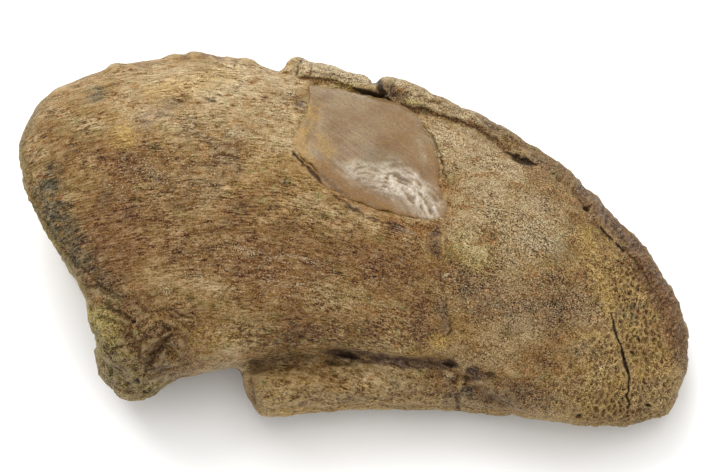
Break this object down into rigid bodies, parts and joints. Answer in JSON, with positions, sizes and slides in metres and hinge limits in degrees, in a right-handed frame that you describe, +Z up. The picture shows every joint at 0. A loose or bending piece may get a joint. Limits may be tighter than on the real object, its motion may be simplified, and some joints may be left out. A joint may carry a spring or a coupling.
{
  "type": "dinosaur fossil claw",
  "caption": "Blunt, deep claw bone of a dinosaur, fossilised, lying on its side, with a hollow joint face, an edge lip, a broken rim, a cracked tip and a smooth glossy repair let into its side.",
  "frame": {"origin": "On the surface that the claw lies on, under the middle of its bounding box.", "axes": "+X from the joint end to the tip, +Y from the gripping edge to the back edge, +Z up from the surface."},
  "size_m": [0.1654, 0.0948, 0.0449],
  "materials": {
    "fossil_bone": "mineralised bone, matt, porous, brown with grey and yellow stains",
    "repair_resin": "tinted filler resin, glossy, wrinkled at its lower end"
  },
  "bodies": {
    "root": {"claw_bone": "fossil_bone", "repair_fill": "repair_resin"}
  },
  "joints": []
}
